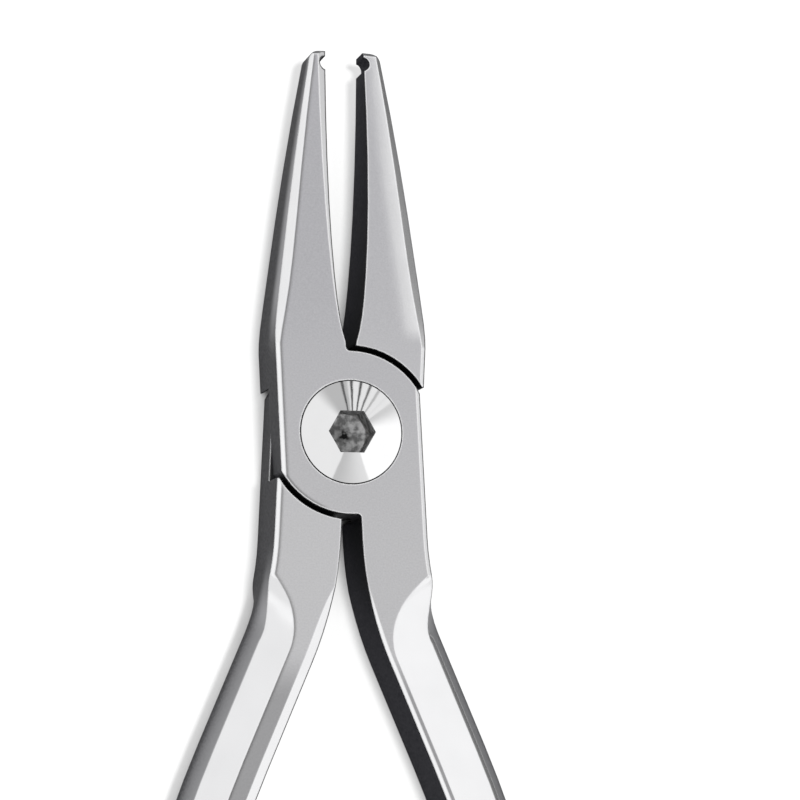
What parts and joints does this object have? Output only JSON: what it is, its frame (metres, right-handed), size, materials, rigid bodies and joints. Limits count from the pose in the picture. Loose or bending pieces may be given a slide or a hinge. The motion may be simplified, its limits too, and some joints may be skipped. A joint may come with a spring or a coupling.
{
  "type": "orthodontic pliers",
  "caption": "Satin steel orthodontic pliers with lapped halves on a socket screw, tapered beaks with hooked tips that close into a round wire hole, and bowed handles.",
  "frame": {"origin": "on the joint axis, in the plane of the back face that the pliers lie on", "axes": "+Y from the joint towards the beak tips, +Z along the joint axis towards the screw head, +X across the pliers"},
  "size_m": [0.046, 0.1396, 0.0084],
  "materials": {
    "front_half": "satin ground flats and sides, polished bevels and handle facets",
    "rear_half": "satin ground flats and sides, polished bevels and handle facets",
    "joint_screw": "polished coned head, dull socket"
  },
  "bodies": {
    "rear": {"rear_half": "rear_half", "joint_screw": "joint_screw"},
    "front": {"front_half": "front_half"}
  },
  "joints": [
    {"name": "pivot", "type": "hinge", "parent": "rear", "child": "front", "pos_m": [0, 0, 0.004], "axis": [0, 0, 1], "range_deg": [-5.56, 50]}
  ]
}
